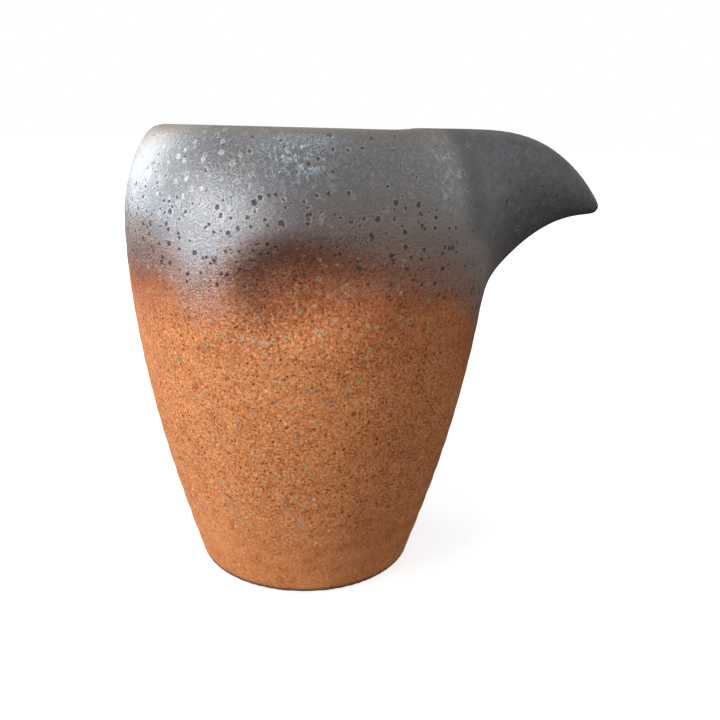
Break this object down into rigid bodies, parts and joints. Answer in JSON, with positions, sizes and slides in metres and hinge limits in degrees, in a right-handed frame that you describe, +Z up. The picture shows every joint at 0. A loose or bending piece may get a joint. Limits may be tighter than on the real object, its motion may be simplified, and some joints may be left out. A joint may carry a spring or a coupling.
{
  "type": "sake pourer",
  "caption": "Stoneware sake pourer: tapering thrown beaker with an in-turned shoulder, pressed finger dents and an open beak spout luted over a notch in its wall.",
  "frame": {"origin": "centre of the flat base, on the surface it stands on", "axes": "+Z up along the turning axis, +X along the beak, -Y the side with the thumb dent that faces the viewer when the beak points right"},
  "size_m": [0.1166, 0.0882, 0.1113],
  "materials": {
    "iron_stoneware": "bare iron-bearing stoneware below, fading upwards into satin slate-grey glaze with iron pits",
    "slate_glaze": "satin slate-grey glaze with a few iron pits and a warm breaking edge",
    "seam_glaze": "satin slate-grey glaze, paler and frosted in the seam"
  },
  "bodies": {
    "root": {"thrown_body": "iron_stoneware", "beak_spout": "slate_glaze", "luting_coil": "seam_glaze"}
  },
  "joints": []
}
